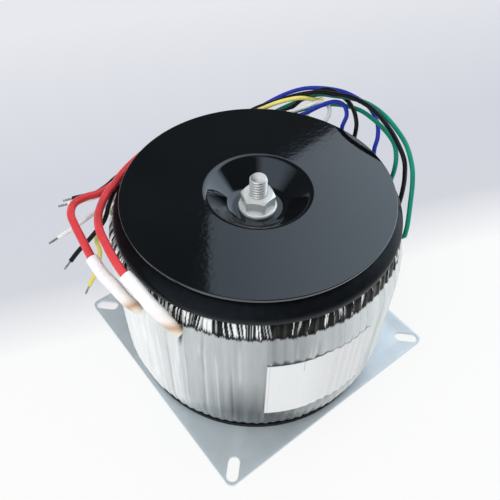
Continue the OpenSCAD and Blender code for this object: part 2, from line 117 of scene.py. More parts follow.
class Finish:
    """A material with one Principled shader. Patterns are in object coordinates."""

    def __init__(self, name, color, roughness, **sockets):
        self.material = bpy.data.materials.new(name)
        self.material.use_nodes = True
        self.tree = self.material.node_tree
        self.shader = self.tree.nodes["Principled BSDF"]
        self.shader.inputs["Base Color"].default_value = (*color, 1)
        self.shader.inputs["Roughness"].default_value = roughness
        for socket, value in sockets.items():
            self.shader.inputs[socket.replace("_", " ")].default_value = value
        self.relief = None

    def node(self, kind, inputs=(), **settings):
        return add_node(self.tree, kind, inputs, **settings)

    def place(self, stretch=(1, 1, 1)):
        """Object coordinates, stretched by a factor on each axis."""
        at = self.node("TexCoord").outputs["Object"]
        return self.node("Mapping", {"Vector": at, "Scale": stretch}).outputs[0]

    def noise(self, scale, detail=3, stretch=(1, 1, 1)):
        inputs = {"Vector": self.place(stretch), "Scale": scale, "Detail": detail}
        return self.node("TexNoise", inputs).outputs["Fac"]

    def cells(self, scale):
        inputs = {"Vector": self.place(), "Scale": scale}
        return self.node("TexVoronoi", inputs).outputs["Color"]

    def rings(self, pitch):
        """Turns wound about the z axis, a pitch apart."""
        inputs = {"Vector": self.place(), "Scale": math.pi / 5 / pitch, "Detail": 0}
        rings = self.node("TexWave", inputs, wave_type="RINGS", rings_direction="Z")
        return rings.outputs["Fac"]

    def around(self, count):
        """A wave with so many crests round the z axis."""
        apart = self.node("SeparateXYZ", {"Vector": self.place()}).outputs
        angle = self.node("Math", {0: apart[1], 1: apart[0]}, operation="ARCTAN2")
        wave = self.node("Math", {0: angle.outputs[0], 1: count}, operation="MULTIPLY")
        return self.node("Math", {0: wave.outputs[0]}, operation="SINE").outputs[0]

    def color_by(self, factor, *stops):
        """Base colour from a ramp. A stop is (place, colour)."""
        ramp = self.node("ValToRGB", {"Fac": factor})
        points = ramp.color_ramp.elements
        while len(points) < len(stops):
            points.new(0.5)
        for point, (place, color) in zip(points, stops):
            point.position = place
            point.color = (*color, 1)
        self.tree.links.new(ramp.outputs["Color"], self.shader.inputs["Base Color"])
        return self

    def color_from(self, attribute, factor, low, high):
        """Base colour from the mesh, times a number between low and high by the factor."""
        color = self.node("Attribute", attribute_name=attribute).outputs["Color"]
        share = self.node("MapRange", {"Value": factor, "To Min": low, "To Max": high})
        mixed = self.node(
            "VectorMath", {0: color, 1: share.outputs["Result"]}, operation="MULTIPLY"
        )
        self.tree.links.new(mixed.outputs[0], self.shader.inputs["Base Color"])
        return self

    def rough_by(self, factor, low, high):
        """Roughness between low and high, by the factor."""
        share = self.node("MapRange", {"Value": factor, "To Min": low, "To Max": high})
        self.tree.links.new(share.outputs["Result"], self.shader.inputs["Roughness"])
        return self

    def bump_by(self, factor, height):
        """Relief of the given height in metres. Calls add up."""
        inputs = {"Height": factor, "Distance": height, "Strength": 1.0}
        if self.relief:
            inputs["Normal"] = self.relief
        self.relief = self.node("Bump", inputs).outputs["Normal"]
        self.tree.links.new(self.relief, self.shader.inputs["Normal"])
        return self


def insulation(name, color):
    """Soft PVC: slightly uneven along the lead, with a dull gloss."""
    pvc = Finish(
        name, color, 0.34, Coat_Weight=0.12, Coat_Roughness=0.2, Specular_IOR_Level=0.22
    )
    shade = pvc.noise(90, 2)
    dark = tuple(0.86 * c for c in color)
    light = tuple(min(1, 1.1 * c + 0.002) for c in color)
    pvc.color_by(shade, (0.3, dark), (0.7, light))
    return pvc.bump_by(pvc.noise(900, 2), 0.00004).material


INSULATION = {
    "red": insulation("red_pvc", (0.78, 0.06, 0.07)),
    "blue": insulation("blue_pvc", (0.02, 0.04, 0.46)),
    "black": insulation("black_pvc", (0.006, 0.0065, 0.008)),
    "green": insulation("green_pvc", (0.004, 0.27, 0.18)),
    "white": insulation("white_pvc", (0.95, 0.96, 0.98)),
    "yellow": insulation("yellow_pvc", (0.88, 0.78, 0.2)),
}


def tinned():
    """Tinned copper strands."""
    tin = Finish("tinned_strands", (0.7, 0.7, 0.68), 0.28, Metallic=1.0)
    tin.color_by(tin.noise(1500, 2), (0.3, (0.5, 0.49, 0.46)), (0.7, (0.8, 0.8, 0.79)))
    return tin.bump_by(tin.noise(3000, 2), 0.00003).material


def sleeving():
    """Varnished woven sleeve. Its colour along the sleeve comes with the mesh."""
    sleeve = Finish("woven_sleeve", (0.95, 0.94, 0.92), 0.42, Coat_Weight=0.5)
    sleeve.color_from("tone", sleeve.noise(260, 4), 0.96, 1.1)
    sleeve.bump_by(sleeve.noise(1300, 2, (1, 1, 2)), 0.00012)
    return sleeve.bump_by(sleeve.noise(160, 2), 0.0006).material


# ---------- meshes: how they are made ----------

# Angle above which an edge of a turned piece stays sharp
TURNED_SHARP = 35


def add_mesh(name, points, faces, material, sharp=None, tone=None):
    """A piece of the part from its points. sharp is the angle above which an edge stays
    sharp, and tone is a colour or a grey for each point."""
    mesh = bpy.data.meshes.new(name)
    mesh.from_pydata(np.asarray(points).tolist(), [], [tuple(face) for face in faces])
    mesh.materials.append(material)
    mesh.shade_smooth()
    if sharp is not None:
        mesh.set_sharp_from_angle(angle=math.radians(sharp))
    if tone is not None:
        tones = mesh.color_attributes.new("tone", "FLOAT_COLOR", "POINT")
        rgba = np.ones((len(points), 4), np.float32)
        rgba[:, :3] = tone
        tones.data.foreach_set("color", rgba.ravel())
    made = bpy.data.objects.new(name, mesh)
    link(made)
    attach(made, "root")
    return made


def grid_faces(rows, columns, closed_rows=False, closed_columns=True):
    """Quads over rows x columns points, numbered row by row. Outward is to the left of
    the rows' direction, seen along the columns."""
    faces = []
    for i in range(rows if closed_rows else rows - 1):
        for j in range(columns if closed_columns else columns - 1):
            across, on = (i + 1) % rows, (j + 1) % columns
            faces.append((
                i * columns + j, i * columns + on, across * columns + on, across * columns + j
            ))
    return faces


def curve_through(points, steps):
    """Catmull-Rom line through the points, with so many steps between two of them."""
    p = np.asarray(points, float)
    p = np.vstack([2 * p[0] - p[1], p, 2 * p[-1] - p[-2]])
    line = []
    for a, b, c, d in zip(p, p[1:], p[2:], p[3:]):
        for t in np.arange(steps) / steps:
            line.append(0.5 * (
                2 * b + (c - a) * t + (2 * a - 5 * b + 4 * c - d) * t**2
                + (3 * b - a - 3 * c + d) * t**3
            ))
    return np.array(line + [p[-2]])


def headings(line):
    """Heading at each point of a line."""
    heading = np.gradient(line, axis=0)
    return heading / np.linalg.norm(heading, axis=1)[:, None]


def arc(centre, radius, start, end, steps):
    """Points of an arc in the plane of radius and height, angles in degrees."""
    turn = np.radians(np.linspace(start, end, steps + 1))
    return [(centre[0] + radius * math.cos(a), centre[1] + radius * math.sin(a)) for a in turn]


def add_turned(name, profile, material, segments):
    """Turns a closed profile of (radius, height), written anticlockwise, round the z axis."""
    profile = np.asarray(profile, float)
    turn = np.linspace(0, 2 * math.pi, segments, endpoint=False)
    r, z = profile[:, :1], np.repeat(profile[:, 1:], segments, axis=1)
    points = np.dstack([r * np.cos(turn), r * np.sin(turn), z]).reshape(-1, 3)
    faces = grid_faces(len(profile), segments, closed_rows=True)
    return add_mesh(name, points, faces, material, TURNED_SHARP)


# ---------- leads ----------

# Points along each lead in millimetres, from the body to the far end
ROUTES = {
    "red_lead_1": [
        (-52.5, -68, 98.5), (-59, -65.5, 102.5), (-66, -61, 107), (-73, -56, 109.5),
        (-80, -49, 112), (-88, -39, 115), (-94, -31, 116), (-99, -23, 116), (-101, -13, 114),
        (-98, -4, 111), (-92, 4, 108), (-87, 15, 106), (-82, 28, 105), (-75, 43, 104),
        (-66, 57, 104), (-57, 67, 104),
    ],
    "red_lead_2": [
        (-30, -80, 101), (-37, -77, 107.5), (-44, -73.5, 112.5), (-51, -68, 116),
        (-58, -63, 119), (-65, -56, 122), (-71, -48, 123), (-77, -39, 123), (-82, -27, 120),
        (-84, -16, 118), (-84, -6, 117), (-83, 4, 115), (-82, 16, 113), (-78, 30, 112),
        (-70, 46, 112), (-60, 59, 111), (-49, 69, 111), (-38, 76, 110),
    ],
    "blue_lead_1": [
        (47, 69, 101), (46.5, 70.5, 107), (45, 73, 117), (47, 77, 124), (44.5, 82, 128),
        (38, 84.5, 128), (30, 84.5, 124), (21, 84, 118), (11, 85, 112), (2, 86, 106),
    ],
    "blue_lead_2": [
        (66.5, 50.5, 101), (66, 52, 107), (65, 55, 116), (66, 59, 123), (65, 66.5, 128),
        (60, 77, 131), (52, 88, 130), (43, 97, 128), (31, 102, 126), (19, 103, 124),
        (8, 102, 120), (-3, 100, 114), (-14, 97, 107),
    ],
    "black_lead_1": [
        (51, 66, 101), (52, 66.5, 107), (53, 66, 117), (53, 69.5, 124.5), (50, 77, 129.5),
        (44.5, 86, 130.5), (35, 93, 131), (25, 93.5, 128), (18, 92.5, 122.5), (12, 91, 117),
        (4, 92, 112), (-6, 95, 107), (-18, 96, 102), (-31, 92, 99), (-45, 85, 97),
        (-60, 75, 96), (-73, 62, 96), (-84, 47, 96), (-91, 32, 97), (-96, 21, 97),
        (-101, 14, 97), (-107, 11, 97), (-113, 9, 96),
    ],
    "black_lead_2": [
        (80.5, 22, 101), (81, 23, 107), (81.5, 26, 112.5), (81, 27.5, 120), (79, 30.5, 129.5),
        (74.5, 40, 134.5), (69, 50, 137.5), (60, 61.5, 140.5), (49, 72, 140), (39, 81.5, 135.5),
        (27, 89, 131), (15, 92, 126), (3, 93.5, 119.5), (-10, 94, 113), (-22, 91, 107),
        (-35, 86, 103), (-48, 78, 101), (-60, 68, 100), (-71, 56, 100), (-80, 42, 100),
        (-85, 27, 100), (-88, 13, 100), (-88, 2, 100), (-88, -8, 98), (-94, -16, 92),
        (-101, -23, 86), (-105, -28, 82),
    ],
    "green_lead_1": [
        (75, 37, 101), (75.5, 37, 107), (76, 36, 117), (76, 40, 124), (74, 46, 129),
        (69, 55.5, 130.5), (62, 66, 130.5), (54.5, 77, 128.5), (45, 85, 125.5), (35, 91.5, 121),
        (24, 94.5, 115.5), (12, 95, 110), (1, 95, 104), (-9, 94, 98),
    ],
    "green_lead_2": [
        (83.5, -0.5, 101), (84, 3, 107), (84, 11, 117), (84, 18.5, 124), (83, 26.5, 129.5),
        (79.5, 38, 134.5), (73, 50, 137.5), (66, 60, 139), (58, 69.5, 138.5), (49, 77.5, 136),
        (38.5, 86.5, 131), (28, 95.5, 125), (17, 99.5, 117), (6, 100.5, 109.5), (-5, 99, 103),
        (-15, 97, 97),
    ],
    "white_lead_1": [
        (27.5, 78.5, 103), (29, 79, 109), (33, 79.5, 114), (36.5, 83, 119.5), (35, 87, 123.5),
        (29, 88, 124.5), (21, 85.5, 122), (11, 85.5, 117), (-2, 86.5, 111), (-14, 88, 105),
        (-27, 86.5, 99.5), (-41, 80, 96), (-56, 71, 95), (-70, 59, 95), (-81, 43, 95),
        (-88, 27, 96), (-93, 15, 98), (-98, 9, 99), (-105, 5, 99), (-113, 2, 98),
    ],
    "white_lead_2": [
        (-4.5, 83, 102), (-8, 86, 103), (-15, 91, 100.5), (-25, 89, 94.5), (-37, 83, 91),
        (-50.5, 74.5, 89.5), (-63.5, 64, 89.5), (-74.5, 50.5, 90), (-82, 34.5, 91.5),
        (-87, 20, 93), (-91, 9, 95), (-98, -4, 96), (-105, -12, 94), (-113, -20, 92),
    ],
    "yellow_lead": [
        (15, 80.5, 107), (20, 91, 107), (24, 100, 109), (29, 103, 114.5), (31, 99.5, 119.5),
        (27.5, 92.5, 123), (17, 86.5, 127.5), (5, 84.5, 125), (-6, 83, 120), (-16, 84, 113),
        (-27, 81.5, 106), (-38, 77.5, 99.5), (-49, 71.5, 93.5), (-60, 63, 88.5),
        (-71, 51.5, 87.5), (-79, 39, 86), (-86, 24, 87), (-92, 8, 88), (-95, -4, 87),
        (-93, -14, 86), (-89, -22, 84), (-90, -29, 78), (-94, -35, 70),
    ],
}
RED_D = 4.4 * MM
THIN_D = 2.7 * MM
ROUTE_STEPS = 8
# How far a thin lead goes on under the film and down, so that its cut end doesn't show
HIDDEN_START = 2.2 * MM
HIDDEN_DROP = 1.5 * MM
# A red lead starts this share of the way to its second point, inside the sleeve
RED_START = 0.1
STRANDS = 7
STRAND_D = 0.46 * MM
STRAND_SIDES = 6
STRAND_TWIST = 5.5
TIP_LENGTH = 6 * MM
# How far the strands reach back into the insulation
TIP_HIDDEN = 1 * MM
SLEEVE_D = 7 * MM
SLEEVE_WALL = 0.9 * MM
SLEEVE_SIDES = 28
# Points of the route that the sleeve covers
SLEEVE_POINTS = 5
# Places along the sleeve, from its flattened start, and the colour at each
SLEEVE_STOPS = [0, 0.07, 0.16, 0.27, 0.55, 1]
SLEEVE_COLORS = [
    (0.9, 0.82, 0.7), (0.88, 0.76, 0.62), (0.6, 0.36, 0.2), (1.0, 0.92, 0.87), (1, 1, 1),
    (1, 1, 1),
]
# How flat each sleeve is pressed at its start, and the seed of its lumps
SLEEVES = {"red_lead_1": (0.3, 3), "red_lead_2": (0.42, 4)}

TINNED = tinned()
SLEEVING = sleeving()


def add_tip(node, line):
    """Bare strands, twisted together, past the end of the insulation."""
    end, heading = line[-1], line[-1] - line[-2]
    heading /= np.linalg.norm(heading)
    side = np.cross(heading, (0.2, 0.3, 0.9))
    side /= np.linalg.norm(side)
    other = np.cross(heading, side)
    along = np.linspace(-TIP_HIDDEN, TIP_LENGTH * 0.98, 22)
    points, faces, sides = [], [], STRAND_SIDES
    for k in range(STRANDS):
        ring = 0 if k == 0 else STRAND_D
        length = along * (1 - 0.05 * (k % 3))
        turn = 2 * math.pi * k / (STRANDS - 1) + along / TIP_LENGTH * STRAND_TWIST
        spread = ring * (1 - 0.1 * (along / TIP_LENGTH) ** 2)
        centre = end + length[:, None] * heading + spread[:, None] * (
            np.cos(turn)[:, None] * side + np.sin(turn)[:, None] * other
        )
        first = len(points) * len(along) * sides
        rim_turn = np.linspace(0, 2 * math.pi, sides, endpoint=False)
        rim = np.cos(rim_turn)[:, None] * side + np.sin(rim_turn)[:, None] * other
        points.append((centre[:, None] + STRAND_D / 2 * rim[None]).reshape(-1, 3))
        faces += [[first + i for i in quad] for quad in grid_faces(len(along), sides)]
        last = first + (len(along) - 1) * sides
        faces += [[first + i for i in range(sides)][::-1], [last + i for i in range(sides)]]
    points = np.concatenate(points)
    tip = add_mesh(node + "_strands", points, faces, TINNED, 60)
    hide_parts(node)
    return tip


def add_sleeve(node, route, squeeze, seed):
    """Sleeve glued to the body by its flattened, browned start."""
    line = curve_through(route[:SLEEVE_POINTS], 12)
    before = line[0] - (line[1] - line[0]) * np.linspace(2.2, 0.3, 4)[:, None]
    line = np.vstack([before, line])
    heading = headings(line)
    done = np.linspace(0, 1, len(line))
    rng = np.random.default_rng(seed)
    lumps = np.interp(done, np.linspace(0, 1, 12), rng.uniform(-1, 1, 12))
    near = np.clip(1 - done / 0.42, 0, 1) ** 1.3
    outward = np.array([*(route[0][:2] / np.linalg.norm(route[0][:2])), 0])
    thin = outward - (heading @ outward)[:, None] * heading
    thin /= np.linalg.norm(thin, axis=1)[:, None]
    broad = np.cross(heading, thin)
    turn = np.linspace(0, 2 * math.pi, SLEEVE_SIDES, endpoint=False)
    outer = SLEEVE_D / 2 * (0.97 + 0.03 * lumps)
    flat = outer * (1 - squeeze * near)
    swell = np.exp(-(((done - 0.4) / 0.22) ** 2))
    wide = outer * (1 + 0.8 * squeeze * swell - 0.35 * np.clip(1 - done / 0.12, 0, 1))
    rings = []
    for shrink in (0, SLEEVE_WALL):
        rings.append(
            line[:, None]
            + (flat - shrink)[:, None, None] * np.cos(turn)[None, :, None] * thin[:, None]
            + (wide - shrink)[:, None, None] * np.sin(turn)[None, :, None] * broad[:, None]
        )
    rows = np.concatenate([rings[0], rings[1][::-1]])
    points = rows.reshape(-1, 3)
    place = np.clip(np.cos(turn + seed)[None, :] * 0.06 + done[:, None], 0, 1)
    tone = np.dstack([
        np.interp(place, SLEEVE_STOPS, [color[k] for color in SLEEVE_COLORS]) for k in range(3)
    ])
    tone = np.concatenate([tone, tone[::-1]]).reshape(-1, 3)
    faces = grid_faces(len(rows), len(turn), closed_rows=True)
    sleeve = add_mesh(node + "_woven", points, faces, SLEEVING, 60, tone)
    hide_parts(node)
    return sleeve


def add_lead(node):
    """A lead's insulation as a cord, with its bare end and, if it is red, its sleeve."""
    route = np.array(ROUTES[node]) * MM
    line = curve_through(route, ROUTE_STEPS)
    color = node.split("_")[0]
    if node in SLEEVES:
        diameter, start = RED_D, route[0] + (route[1] - route[0]) * RED_START
        line = np.vstack([start, line[2:]])
    else:
        inward = np.array([-route[0][0], -route[0][1], 0])
        start = route[0] + HIDDEN_START * inward / np.linalg.norm(inward)
        diameter, line = THIN_D, np.vstack([start - (0, 0, HIDDEN_DROP), line])
    data = bpy.data.curves.new(node + "_insulation", "CURVE")
    data.dimensions = "3D"
    data.bevel_depth = diameter / 2
    data.bevel_resolution = 5
    data.use_fill_caps = True
    data.materials.append(INSULATION[color])
    spline = data.splines.new("POLY")
    spline.points.add(len(line) - 1)
    spline.points.foreach_set("co", np.hstack([line, np.ones((len(line), 1))]).ravel())
    spline.use_smooth = True
    lead = bpy.data.objects.new(node + "_insulation", data)
    link(lead)
    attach(lead, "root")
    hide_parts(node)
    pieces = [add_tip(node + "_tip", line)]
    if node in SLEEVES:
        pieces.append(add_sleeve(node + "_sleeve", route, *SLEEVES[node]))


for node_name in ROUTES:
    add_lead(node_name)

# ---------- film wrap ----------

# Radius, height and share of the pleats, round the section of the wrap, in millimetres
WRAP_SECTION = [
    (24, 13, 0), (32, 5, 0), (73, 5, 0), (77.4, 6.5, 0.4), (81.03, 13, 0.8), (84, 30, 1),
    (84, 88.2, 1), (82.5, 96.2, 1), (81.39, 101.2, 1), (80.4, 109.7, 1), (79, 112.7, 0.3),
    (74, 116, 0.1), (64, 119.3, 0), (54, 120.2, 0), (32, 120.2, 0), (24, 112.2, 0),
]
# Rings of the mesh between two points of the section, and the steps that are rounded
WRAP_STEPS = [1, 2, 5, 5, 5, 16, 5, 7, 10, 3, 2, 1, 1, 1, 1]
ROUNDED = range(2, 12)
WRAP_COLUMNS = 1440
# The solid's wall and its pleats
WRAP_R = 84.0
PLEAT_DEPTH = 0.8
PLEATS = 96
# Heights between which the film is crinkled
CRINKLE_Z = (101.0, 112.5)
# Direction of a dark crease under the exit of the red leads
CREASE = 248.5
# The wrap's shoulder stands out a little at the left: how far, round which direction and
# from which height to which
PUFF = 2.2
PUFF_DIRECTION = 182.0
PUFF_WIDTH = 34.0
PUFF_Z = (84, 113)


def wrap_rings():
    """Rings of the wrap, as rows of radius, height and share, in millimetres."""
    section = np.array(WRAP_SECTION, float)
    rows = []
    for i, steps in enumerate(WRAP_STEPS):
        a, b = section[i], section[i + 1]
        for t in np.arange(steps) / steps:
            if i in ROUNDED:
                before = section[i - 1] if i > ROUNDED.start else a
                after = section[i + 2]
                span = np.linalg.norm((b - a)[:2])
                ta = (b - before) / np.linalg.norm((b - before)[:2]) * span
                tb = (after - a) / np.linalg.norm((after - a)[:2]) * span
                point = (
                    (2 * t**3 - 3 * t**2 + 1) * a + (t**3 - 2 * t**2 + t) * ta
                    + (3 * t**2 - 2 * t**3) * b + (t**3 - t**2) * tb
                )
                point[2] = a[2] + (b[2] - a[2]) * t
            else:
                point = a + (b - a) * t
            rows.append(point)
    rows.append(section[-1])
    rows = np.array(rows)
    rows[:, 0] = np.minimum(rows[:, 0], WRAP_R)
    return rows


def runs(rng, count, shortest, longest, levels, chance=None):
    """A row of random levels round the body, each for a random number of columns."""
    row = np.zeros(count)
    at = 0
    while at < count:
        width = rng.integers(shortest, longest + 1)
        p = chance(at / count * 360) if chance else None
        row[at:at + width] = rng.choice(levels, p=p)
        at += width
    return row


def ramp(at, start, length):
    """0 up to the start and 1 from a length past it. A negative length runs down."""
    return np.clip((at - start) / length, 0, 1)


def hill(at, middle, width):
    """1 in the middle, and falling to nothing on both sides."""
    return np.exp(-(((at - middle) / width) ** 2))


def softened(row, width):
    """The row, averaged round the body over so many columns."""
    kernel = np.hanning(width + 2)[1:-1]
    kernel /= kernel.sum()
    wide = np.concatenate([row[-width:], row, row[:width]])
    return np.convolve(wide, kernel, "same")[width:-width]


def pleat_wave():
    """Pleats of the solid: crest and valley in turn, of uneven height."""
    k = np.arange(2 * PLEATS)
    height = np.where(k % 2 == 0, 1, -1) * (0.7 + 0.3 * np.sin(np.radians(137.0) * k))
    at = np.arange(WRAP_COLUMNS) / WRAP_COLUMNS * 2 * PLEATS
    low = np.floor(at).astype(int)
    t = at - low
    return height[low] * (1 - t) + height[(low + 1) % (2 * PLEATS)] * t


# The wall's plain tone, the painted shade that the front takes off it and the painted highlight
# that the left adds, and where
WALL_TONE, FRONT_PAINTED_SHADE, LEFT_PAINTED_HIGHLIGHT = 0.84, 0.45, 0.27
FRONT, FRONT_WIDTHS = -72, (42, 30)
LEFT, LEFT_WIDTH = -136, 18
# Painted shade that makes the foot of the wall darker at the front, as tone, direction and
# width, and up to where
FOOT_SHADE_HILLS = [(0.24, -89, 16), (0.16, -62, 34)]
FOOT_Z = 68
STREAKS, STREAK_TONES = 200, [-0.12, 0.1, 0.14]
# How far pleats and folds lean, in columns before they are averaged
WALL_LEAN, BAND_LEAN = 26, 7
# Tones of the folds in the band at the shoulder, from black to white: the white folds are
# painted glints of the crinkled film, the black ones partly the dark winding seen through the
# film and partly painted shade in the gaps; and the tint that film adds to shade
FOLD_TONES = [0.002, 0.02, 0.4, 1.0]
FILM_TINT = np.array([0.93, 0.985, 1.0])


def fold_chance(angle):
    """How likely each tone is in the crinkled band, by direction: more painted glints towards
    the left of the front, and more dark folds to its right.
    """
    direction = (angle + 180) % 360 - 180
    if -128 < direction < -75:
        return [0.42, 0.12, 0.14, 0.32]
    if -75 <= direction < 5:
        return [0.7, 0.14, 0.07, 0.09]
    return [0.45, 0.15, 0.15, 0.25]


def wall_tones(z, along, direction, rng):
    """Soft pleats and streaks and one crease, with painted shade over the front that is darkest
    at its foot, a painted highlight at the left, and a little darker towards the bottom.
    """
    count = WRAP_COLUMNS

    def across(row):
        return np.interp(along, np.arange(count + 1), np.append(row, row[0]))

    def off(middle):
        return (along - middle + count / 2) % count - count / 2

    broad = softened(runs(rng, count, 10, 30, [-1, -0.4, 0.3, 0.8]), 9)
    fine = softened(runs(rng, count, 2, 7, [-1, 0, 0, 0.3, 1]), 3)
    # Painted shade over the front of the wall, and a painted highlight at its left
    front = hill(direction, FRONT, np.where(direction < FRONT, *FRONT_WIDTHS))
    wall = WALL_TONE - FRONT_PAINTED_SHADE * front + LEFT_PAINTED_HIGHLIGHT * hill(direction, LEFT, LEFT_WIDTH)
    wall = wall + 0.06 * across(broad) + 0.04 * across(fine)
    for _ in range(STREAKS):
        middle, width = rng.uniform(0, count), rng.uniform(0.8, 2.6)
        low, high = sorted(rng.uniform(8, 101, 2))
        reach = ramp(z, low, 8) * ramp(z, high, -8)
        wall += rng.choice(STREAK_TONES) * hill(off(middle), 0, width) * reach
    # Painted shade at the foot of the front of the wall
    foot = sum(tone * hill(direction, middle, width) for tone, middle, width in FOOT_SHADE_HILLS)
    wall -= foot * ramp(z, FOOT_Z, -36)
    wall -= 0.1 * ramp(z, 20, -14)
    wall = np.clip(wall, 0.12, 0.97)
    crease = hill(off(CREASE / 360 * count), 0, 2.5) * ramp(z, 86, 6) * (z < 104)
    return wall * (1 - 0.9 * crease)


def band_tones(z, column, direction, rng):
    """Sharp black and white folds of the band, the white ones painted glints: the tone of each
    column, the height at which it starts, and the tone of each point."""
    count = WRAP_COLUMNS
    folds = runs(rng, count, 1, 3, FOLD_TONES, fold_chance)
    slivers = runs(rng, count, 1, 2, FOLD_TONES, fold_chance)
    pick = softened(rng.uniform(0, 1, count), 40) > 0.45
    folds = np.where(pick, folds, slivers)
    start = CRINKLE_Z[0] + softened(rng.normal(0, 1.5, count), 60)[None, :]
    start = start + rng.uniform(-0.5, 0.5, count)[None, :]
    slant = softened(rng.normal(0, BAND_LEAN, count), 40)[None, :] * (z - 106) / 5
    bright = folds[np.rint(column + slant).astype(int) % count]
    # Each bright fold, a painted glint, ends at a height of its own, higher up at the right
    short = np.where((direction > -75) & (direction < 60), 0.8, 0.3)
    ends = start + 9 * (short * rng.uniform(0, 1, count))
    return folds, start, bright * np.clip((z - ends) / 2.5, 0.02, 1)


def wrap_tones(rings, rng):
    """Colour of each point of the wrap, with a painted shadow under the top pad, and the tone
    of each column of the band.
    """
    count, z = WRAP_COLUMNS, rings[:, 1][:, None]
    column = np.arange(count)[None, :]
    direction = (column / count * 360 + 180) % 360 - 180
    lean = softened(rng.normal(0, WALL_LEAN, count), 120)[None, :] * (z - 60) / 50
    wall = wall_tones(z, (column + lean) % count, direction, rng)
    folds, start, bright = band_tones(z, column, direction, rng)
    band = ramp(z, start, 0.6) * ramp(z, CRINKLE_Z[1] + 2, -1.5)
    edge = ramp(z, start, 0.6) * ramp(z, start + 2, -0.8)
    tone = wall * (1 - band) + bright * band
    tone = tone * (1 - 0.45 * edge)
    # Painted shadow of the top pad over the top of the band
    tone = tone * (1 - 0.75 * ramp(z, CRINKLE_Z[1] - 1.5, 2.5))
    tint = 1 - (1 - FILM_TINT) * np.clip(1.6 - tone * 1.2, 0.3, 1.6)[:, :, None]
    return (tone[:, :, None] * tint).reshape(-1, 3), folds


def film():
    """Clear film in many layers over a white core: much gloss and some milkiness."""
    wrap = Finish(
        "clear_film", (0.7, 0.72, 0.73), 0.2, Metallic=0.4, Coat_Weight=0.08,
        Coat_Roughness=0.1, Specular_IOR_Level=0.08,
    )
    wrap.color_from("tone", wrap.noise(300, 3, (1, 1, 0.12)), 0.88, 1.1)
    wrap.rough_by(wrap.noise(120, 3, (1, 1, 0.1)), 0.12, 0.34)
    wrap.bump_by(wrap.noise(520, 3, (1, 1, 0.05)), 0.0003)
    return wrap.bump_by(wrap.noise(60, 2, (1, 1, 0.5)), 0.0008).material


FILM = film()
# The film bridges the pleats of the solid, which softens them
WRAP_WAVE = 0.8 * softened(pleat_wave(), 4)
WRINKLE_DEPTH = 0.12
FOLD_DEPTH = 0.45
WRAP_SEED = 11


def add_wrap():
    """The film: pleats, fine wrinkles, folds in the band and the fuller shoulder."""
    rng = np.random.default_rng(WRAP_SEED)
    rings = wrap_rings()
    tone, folds = wrap_tones(rings, rng)
    ripples = softened(rng.normal(0, 1, WRAP_COLUMNS), 5)
    depth = WRINKLE_DEPTH * (1 + np.clip(ripples, -1, 1))
    z = rings[:, 1][:, None]
    crinkle = ramp(z, CRINKLE_Z[0] - 2, 3) * ramp(z, CRINKLE_Z[1] + 1.5, -2)
    sharp = np.where(folds > 0.5, 0.0, FOLD_DEPTH)[None, :] * crinkle
    r = rings[:, :1] + rings[:, 2:] * (PLEAT_DEPTH * WRAP_WAVE[None, :] - depth[None, :])
    r = r - sharp * np.minimum(1, rings[:, 2:] * 2)
    degrees = np.arange(WRAP_COLUMNS) / WRAP_COLUMNS * 360
    puff = PUFF * np.exp(-(((degrees - PUFF_DIRECTION) / PUFF_WIDTH) ** 4))[None, :]
    r = r + puff * ramp(z, PUFF_Z[0], 14) * ramp(z, PUFF_Z[1], -6)
    turn = np.arange(WRAP_COLUMNS) / WRAP_COLUMNS * 2 * math.pi
    height = np.repeat(rings[:, 1:2], WRAP_COLUMNS, axis=1)
    points = np.dstack([r * np.cos(turn), r * np.sin(turn), height]).reshape(-1, 3) * MM
    faces = grid_faces(len(rings), WRAP_COLUMNS, closed_rows=True)
    wrap = add_mesh("film_wrap", points, faces, FILM, None, tone)
    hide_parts("outer_wrap")


add_wrap()

# ---------- label ----------

# Directions of the label's left and right ends
LABEL_LOW, LABEL_HIGH = -80.0, -38.0
# Thin lines on the paper: a printed frame line, painted shadow along the left, top and bottom
# edges, and one short printed mark from the top
LABEL_EDGE = 1.7 * MM
LABEL_LINE = 0.35 * MM
LABEL_RIM_SHADOW = 0.3 * MM
LABEL_MARK_AT, LABEL_MARK = 20 * MM, 9 * MM
LABEL_T = 0.2 * MM
PAPER_TONE, INK_AND_SHADOW_TONE = 0.86, 0.5
LABEL_GRID = (300, 130)
LABEL_SEED = 5


def label_paper():
    """White paper behind film, so it shines."""
    paper = Finish(
        "label_under_film", (0.9, 0.9, 0.89), 0.3, Coat_Weight=0.8, Coat_Roughness=0.12
    )
    paper.color_from("tone", paper.noise(500, 4), 0.97, 1.02)
    return paper.bump_by(paper.noise(260, 2, (1, 1, 0.08)), 0.0005).material


